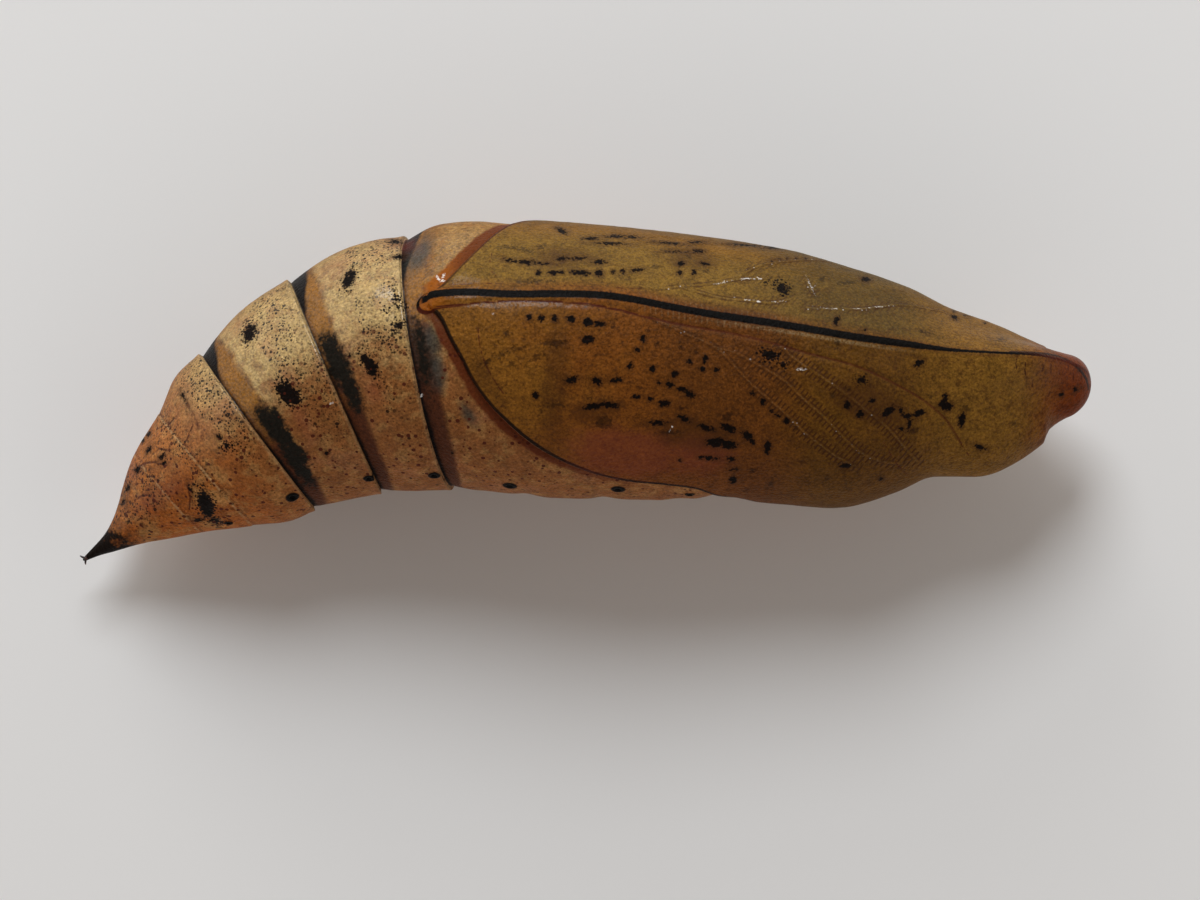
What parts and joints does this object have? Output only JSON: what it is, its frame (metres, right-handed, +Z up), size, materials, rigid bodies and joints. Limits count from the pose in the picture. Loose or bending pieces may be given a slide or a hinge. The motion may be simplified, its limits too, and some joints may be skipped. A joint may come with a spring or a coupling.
{
  "type": "moth pupa",
  "caption": "Dry moth pupa: a spindle-shaped shell with raised wing cases, ringed abdomen bent to one side and a pointed tail, lying belly up.",
  "frame": {"origin": "centre of the bounding box's footprint, at the level of the flat underside that it rests on", "axes": "+X towards the head, +Z up from the table, and the abdomen bends towards -Y"},
  "size_m": [0.0238, 0.008, 0.0063],
  "materials": {
    "pupa_shell": "satin brown insect shell, mottled with dark flecks"
  },
  "bodies": {
    "root": {"pupa": "pupa_shell"}
  },
  "joints": []
}
